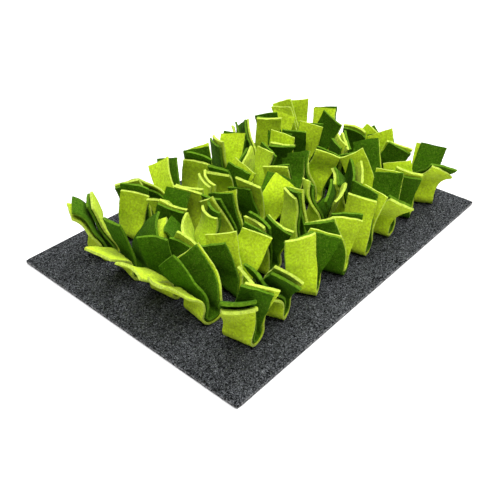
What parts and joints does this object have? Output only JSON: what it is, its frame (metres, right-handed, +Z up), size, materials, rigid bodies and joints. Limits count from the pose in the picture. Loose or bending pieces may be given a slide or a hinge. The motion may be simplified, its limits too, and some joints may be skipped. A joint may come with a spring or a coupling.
{
  "type": "snuffle mat",
  "caption": "Felt foraging mat for a pet: a rectangular base with rows of folded felt strips sewn on so that their free ends stand up and hide dry treats.",
  "frame": {"origin": "middle of the base's underside, where the mat rests", "axes": "+X along the mat's length, +Y across it along the rows of tufts, +Z up the standing strips"},
  "size_m": [0.45, 0.321, 0.0835],
  "materials": {
    "charcoal_felt": "matte needle felt, flecked charcoal",
    "lime_felt": "matte felt, lime green",
    "dark_green_felt": "matte felt, dark green"
  },
  "bodies": {
    "root": {"base_mat": "charcoal_felt", "tuft_0_0": "lime_felt", "tuft_0_1": "lime_felt", "tuft_0_2": "lime_felt", "tuft_0_3": "lime_felt", "tuft_0_4": "lime_felt", "tuft_1_0": "lime_felt", "tuft_1_1": "dark_green_felt", "tuft_1_2": "dark_green_felt", "tuft_1_3": "dark_green_felt", "tuft_1_4": "lime_felt", "tuft_2_0": "lime_felt", "tuft_2_1": "lime_felt", "tuft_2_2": "lime_felt", "tuft_2_3": "lime_felt", "tuft_2_4": "dark_green_felt", "tuft_3_0": "dark_green_felt", "tuft_3_1": "lime_felt", "tuft_3_2": "dark_green_felt", "tuft_3_3": "lime_felt", "tuft_3_4": "lime_felt", "tuft_4_0": "lime_felt", "tuft_4_1": "lime_felt", "tuft_4_2": "lime_felt", "tuft_4_3": "dark_green_felt", "tuft_4_4": "dark_green_felt", "tuft_5_0": "lime_felt", "tuft_5_1": "lime_felt", "tuft_5_2": "dark_green_felt", "tuft_5_3": "dark_green_felt", "tuft_5_4": "lime_felt", "tuft_6_0": "dark_green_felt", "tuft_6_1": "lime_felt", "tuft_6_2": "dark_green_felt", "tuft_6_3": "dark_green_felt", "tuft_6_4": "lime_felt", "tuft_7_0": "lime_felt", "tuft_7_1": "dark_green_felt", "tuft_7_2": "dark_green_felt", "tuft_7_3": "dark_green_felt", "tuft_7_4": "lime_felt"}
  },
  "joints": []
}
